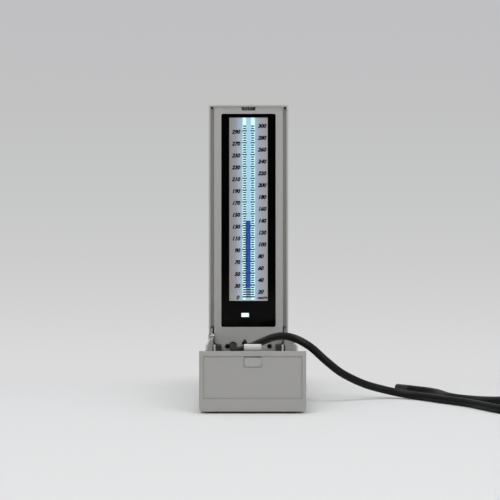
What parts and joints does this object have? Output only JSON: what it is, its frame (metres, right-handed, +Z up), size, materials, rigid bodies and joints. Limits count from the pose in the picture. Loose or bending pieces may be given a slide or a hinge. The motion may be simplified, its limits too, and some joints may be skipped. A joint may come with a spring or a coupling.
{
  "type": "mercury-free sphygmomanometer",
  "caption": "Desk blood-pressure meter: a shallow storage base whose hinged lid stands up to show a tall liquid-crystal column, with a rubber air hose.",
  "frame": {"origin": "centre of the base's footprint, on the table under the feet; the free hose isn't counted", "axes": "+X to the right as seen by the reader, +Y from the front latch to the hinge, +Z up; the lid stands open at rest"},
  "size_m": [0.3965, 0.3569, 0.347],
  "materials": {
    "base_shell": "fine spark grain",
    "storage_liner": "smooth satin",
    "foot_front_left": "matt",
    "foot_front_right": "matt",
    "foot_rear_left": "matt",
    "foot_rear_right": "matt",
    "foot_screws": "zinc plate",
    "hinge_bracket_left": "zinc plate",
    "hinge_bracket_right": "zinc plate",
    "hinge_pin_left": "zinc plate",
    "hinge_pin_right": "zinc plate",
    "bracket_screws": "zinc plate",
    "stop_buffer_left": "matt",
    "stop_buffer_right": "matt",
    "latch_pin": "zinc plate",
    "latch_spring": "zinc plate",
    "hose_run": "matt",
    "hose_coil": "matt",
    "hose_tail": "matt",
    "cuff_connector": "moulded",
    "lid_shell": "fine spark grain",
    "front_panel": "fine spark grain",
    "window_frame": "glossy",
    "window_lens": "clear",
    "lcd_glass": "polariser film on glass",
    "lcd_holder": "satin",
    "light_guide": "diffuse sheet",
    "main_board": "solder mask",
    "board_screws": "zinc plate",
    "pressure_sensor": "moulded",
    "sensor_tube": "silicone",
    "air_port": "nickel plate",
    "port_collar": "matt",
    "panel_screws": "black oxide",
    "switch_body": "moulded",
    "strike_plate": "zinc plate",
    "hinge_leaf_left": "zinc plate",
    "hinge_leaf_right": "zinc plate",
    "battery_tray": "satin",
    "battery_upper": "plain printed sleeve",
    "battery_lower": "plain printed sleeve",
    "contact_springs": "zinc plate",
    "contact_plates": "zinc plate",
    "latch_lever": "satin",
    "power_lever": "black",
    "battery_door": "fine spark grain"
  },
  "bodies": {
    "base": {"base_shell": "base_shell", "storage_liner": "storage_liner", "foot_front_left": "foot_front_left", "foot_front_right": "foot_front_right", "foot_rear_left": "foot_rear_left", "foot_rear_right": "foot_rear_right", "foot_screws": "foot_screws", "hinge_bracket_left": "hinge_bracket_left", "hinge_bracket_right": "hinge_bracket_right", "hinge_pin_left": "hinge_pin_left", "hinge_pin_right": "hinge_pin_right", "bracket_screws": "bracket_screws", "stop_buffer_left": "stop_buffer_left", "stop_buffer_right": "stop_buffer_right", "latch_pin": "latch_pin", "latch_spring": "latch_spring", "hose_run": "hose_run", "hose_coil": "hose_coil", "hose_tail": "hose_tail", "cuff_connector": "cuff_connector"},
    "latch": {"latch_lever": "latch_lever"},
    "lid": {"lid_shell": "lid_shell", "front_panel": "front_panel", "window_frame": "window_frame", "window_lens": "window_lens", "lcd_glass": "lcd_glass", "lcd_holder": "lcd_holder", "light_guide": "light_guide", "main_board": "main_board", "board_screws": "board_screws", "pressure_sensor": "pressure_sensor", "sensor_tube": "sensor_tube", "air_port": "air_port", "port_collar": "port_collar", "panel_screws": "panel_screws", "switch_body": "switch_body", "strike_plate": "strike_plate", "hinge_leaf_left": "hinge_leaf_left", "hinge_leaf_right": "hinge_leaf_right", "battery_tray": "battery_tray", "battery_upper": "battery_upper", "battery_lower": "battery_lower", "contact_springs": "contact_springs", "contact_plates": "contact_plates"},
    "power_switch": {"power_lever": "power_lever"},
    "battery_cover": {"battery_door": "battery_door"}
  },
  "joints": [
    {"name": "lid_hinge", "type": "hinge", "parent": "base", "child": "lid", "pos_m": [0, 0.1295, 0.0555], "axis": [1, 0, 0], "range_deg": [0, 90], "deforming": ["hose_run"]},
    {"name": "latch_pivot", "type": "hinge", "parent": "base", "child": "latch", "pos_m": [0, -0.1571, 0.038], "axis": [1, 0, 0], "range_deg": [-3.5, 0], "stiffness_Nm_per_rad": 0.15, "springref_deg": 11.46, "deforming": ["latch_spring"]},
    {"name": "switch_throw", "type": "hinge", "parent": "lid", "child": "power_switch", "pos_m": [-0.0048, 0.1329, 0.0472], "axis": [1, 0, 0], "range_deg": [0, 48]},
    {"name": "battery_cover_hinge", "type": "hinge", "parent": "lid", "child": "battery_cover", "pos_m": [0, 0.1531, 0.0622], "axis": [-1, 0, 0], "range_deg": [0, 75]}
  ]
}
